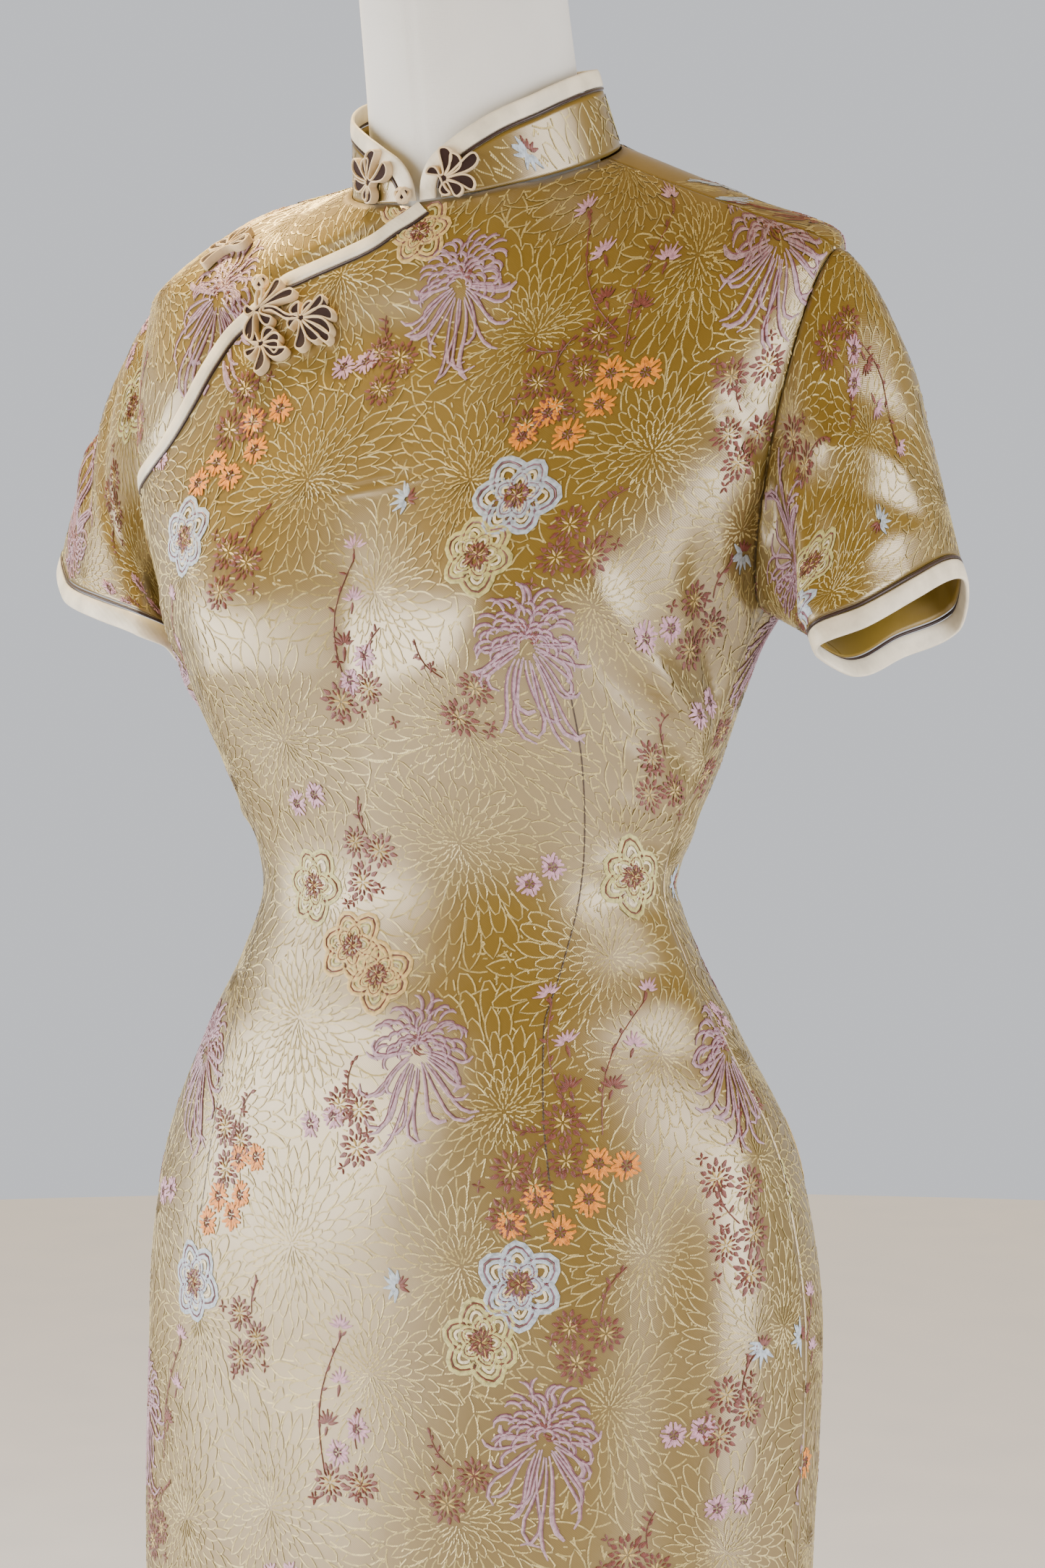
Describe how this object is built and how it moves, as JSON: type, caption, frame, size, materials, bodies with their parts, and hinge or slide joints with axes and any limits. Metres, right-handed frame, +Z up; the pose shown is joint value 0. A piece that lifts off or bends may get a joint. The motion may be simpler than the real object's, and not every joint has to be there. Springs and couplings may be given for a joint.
{
  "type": "cheongsam dress on dress form",
  "caption": "Short-sleeved brocade cheongsam with a stand collar and diagonal front opening, worn by a limbless dress form on a round standing base.",
  "frame": {"origin": "centre of the base's underside, on the floor, on the pole's axis", "axes": "+Z up, -Y the wearer's front, +X the wearer's left"},
  "size_m": [0.5322, 0.34, 1.505],
  "materials": {
    "brocade": "glossy gold silk satin woven with raised flowers",
    "binding": "cream bias satin",
    "piping": "dark brown satin cord",
    "frog": "folded bias strip, cream edges over dark brown",
    "form_cloth": "off-white linen, matt",
    "stand_metal": "satin grey"
  },
  "bodies": {
    "root": {"front_panel": "brocade", "under_front": "brocade", "back_panel": "brocade", "left_sleeve": "brocade", "right_sleeve": "brocade", "collar_band": "brocade", "collar_binding": "binding", "opening_binding": "binding", "left_cuff_binding": "binding", "right_cuff_binding": "binding", "collar_piping": "piping", "opening_piping": "piping", "left_cuff_piping": "piping", "right_cuff_piping": "piping", "collar_frog_left": "frog", "collar_frog_right": "frog", "collar_knot": "frog", "opening_frog_upper": "frog", "opening_frog_inner": "frog", "opening_frog_outer": "frog", "opening_frog_lower": "frog", "opening_knot": "frog", "form_body": "form_cloth", "stand_pole": "stand_metal", "stand_base": "stand_metal"}
  },
  "joints": []
}
